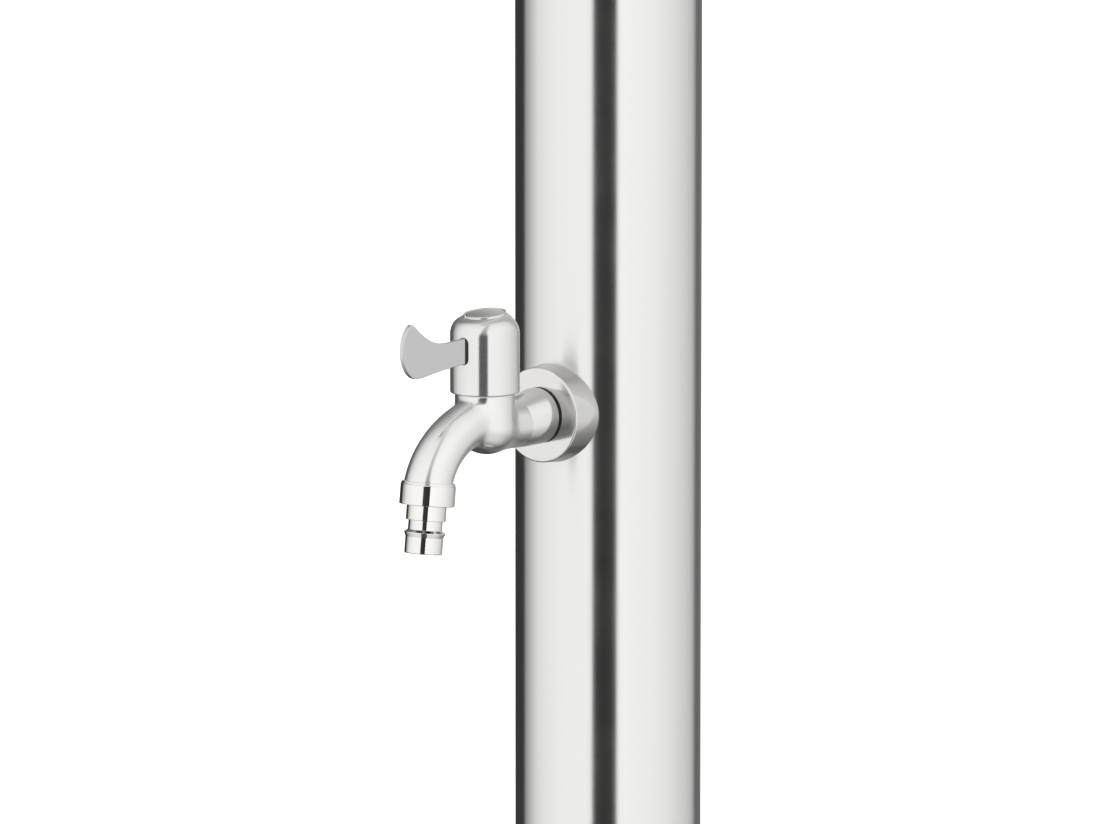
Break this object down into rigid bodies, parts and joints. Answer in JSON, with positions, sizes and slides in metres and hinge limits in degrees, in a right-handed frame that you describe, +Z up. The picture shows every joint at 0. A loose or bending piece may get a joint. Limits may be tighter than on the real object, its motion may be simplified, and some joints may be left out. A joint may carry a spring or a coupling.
{
  "type": "outdoor shower post",
  "caption": "Free-standing outdoor shower column with a lever foot tap and hose nipple, a shower valve, an arm and a swivelling rain head.",
  "frame": {"origin": "centre of the ground bolt circle, on the underside of the base gasket", "axes": "+Z up along the column, -Y the way the foot tap, the shower valve and the arm point"},
  "size_m": [0.25, 0.525, 2.1536],
  "materials": {
    "steel_brushed": "fine vertical or circular brush, satin",
    "steel_satin_cast": "satin-polished casting",
    "steel_satin_flat": "flat satin sheet",
    "steel_polished": "polished, fine turning marks",
    "steel_plain": "as machined",
    "brass": "as machined",
    "rubber_black": "matt black",
    "silicone_grey": "matt grey silicone",
    "ceramic": "lapped white ceramic",
    "plastic_grey": "moulded grey acetal",
    "plastic_white": "moulded white acetal"
  },
  "bodies": {
    "root": {"base_gasket": "rubber_black", "base_flange": "steel_plain", "column_grub_screws": "steel_plain", "base_cover": "steel_brushed", "base_cover_seal": "rubber_black", "column_tube": "steel_brushed", "top_cap": "steel_brushed", "top_cap_o_ring": "rubber_black", "inlet_union": "brass", "inlet_union_screws": "steel_plain", "lower_riser_pipe": "steel_plain", "middle_riser_pipe": "steel_plain", "upper_riser_pipe": "steel_plain", "foot_tap_tee": "brass", "tap_inner_saddle": "plastic_grey", "arm_elbow": "brass", "compression_nuts": "brass", "riser_spacers": "plastic_grey", "tap_rosette": "steel_polished", "tap_seal_washer": "rubber_black", "tap_body": "steel_satin_cast", "tap_seat_seal": "rubber_black", "tap_fixed_disc": "ceramic", "tap_cartridge": "brass", "hose_nipple": "steel_polished", "hose_nipple_washer": "rubber_black", "valve_body": "brass", "valve_rosette": "steel_polished", "valve_sleeve_nut": "steel_polished", "valve_seat_seal": "rubber_black", "valve_fixed_disc": "ceramic", "valve_cartridge": "brass", "arm_rosette": "steel_polished", "shower_arm": "steel_polished", "head_ball_stud": "steel_polished", "head_filter_washer": "plastic_grey"},
    "foot_tap_handle": {"tap_moving_disc": "ceramic", "tap_spindle": "brass", "tap_spindle_o_ring": "rubber_black", "tap_lever_hub": "steel_plain", "tap_lever_pin": "steel_plain", "tap_handle_screw": "steel_plain", "tap_handle_cap": "steel_satin_cast", "tap_handle_plug": "steel_polished", "tap_lever": "steel_satin_flat"},
    "shower_valve_handle": {"valve_moving_disc": "ceramic", "valve_spindle": "brass", "valve_spindle_o_ring": "rubber_black", "valve_lever_hub": "steel_plain", "valve_lever_pin": "steel_plain", "valve_handle_screw": "steel_plain", "valve_handle_cap": "steel_satin_cast", "valve_handle_plug": "steel_polished", "valve_lever": "steel_satin_flat"},
    "head_seat": {"head_seat_ring": "plastic_white"},
    "shower_head": {"head_union_nut": "steel_polished", "head_shell": "steel_brushed", "head_spray_plate": "steel_brushed", "head_nozzle_mat": "silicone_grey", "head_screws": "steel_plain"}
  },
  "joints": [
    {"name": "foot_tap_turn", "type": "hinge", "parent": "root", "child": "foot_tap_handle", "pos_m": [0, -0.0811, 0.53], "axis": [0, 0, 1], "range_deg": [0, 90]},
    {"name": "shower_valve_turn", "type": "hinge", "parent": "root", "child": "shower_valve_handle", "pos_m": [0, -0.08, 1.1], "axis": [0, -1, 0], "range_deg": [0, 90]},
    {"name": "head_swivel", "type": "hinge", "parent": "root", "child": "head_seat", "pos_m": [0, -0.3, 1.938], "axis": [0, 0, 1], "continuous": true},
    {"name": "head_tilt", "type": "hinge", "parent": "head_seat", "child": "shower_head", "pos_m": [0, -0.3, 1.938], "axis": [1, 0, 0], "range_deg": [-15, 15]}
  ]
}
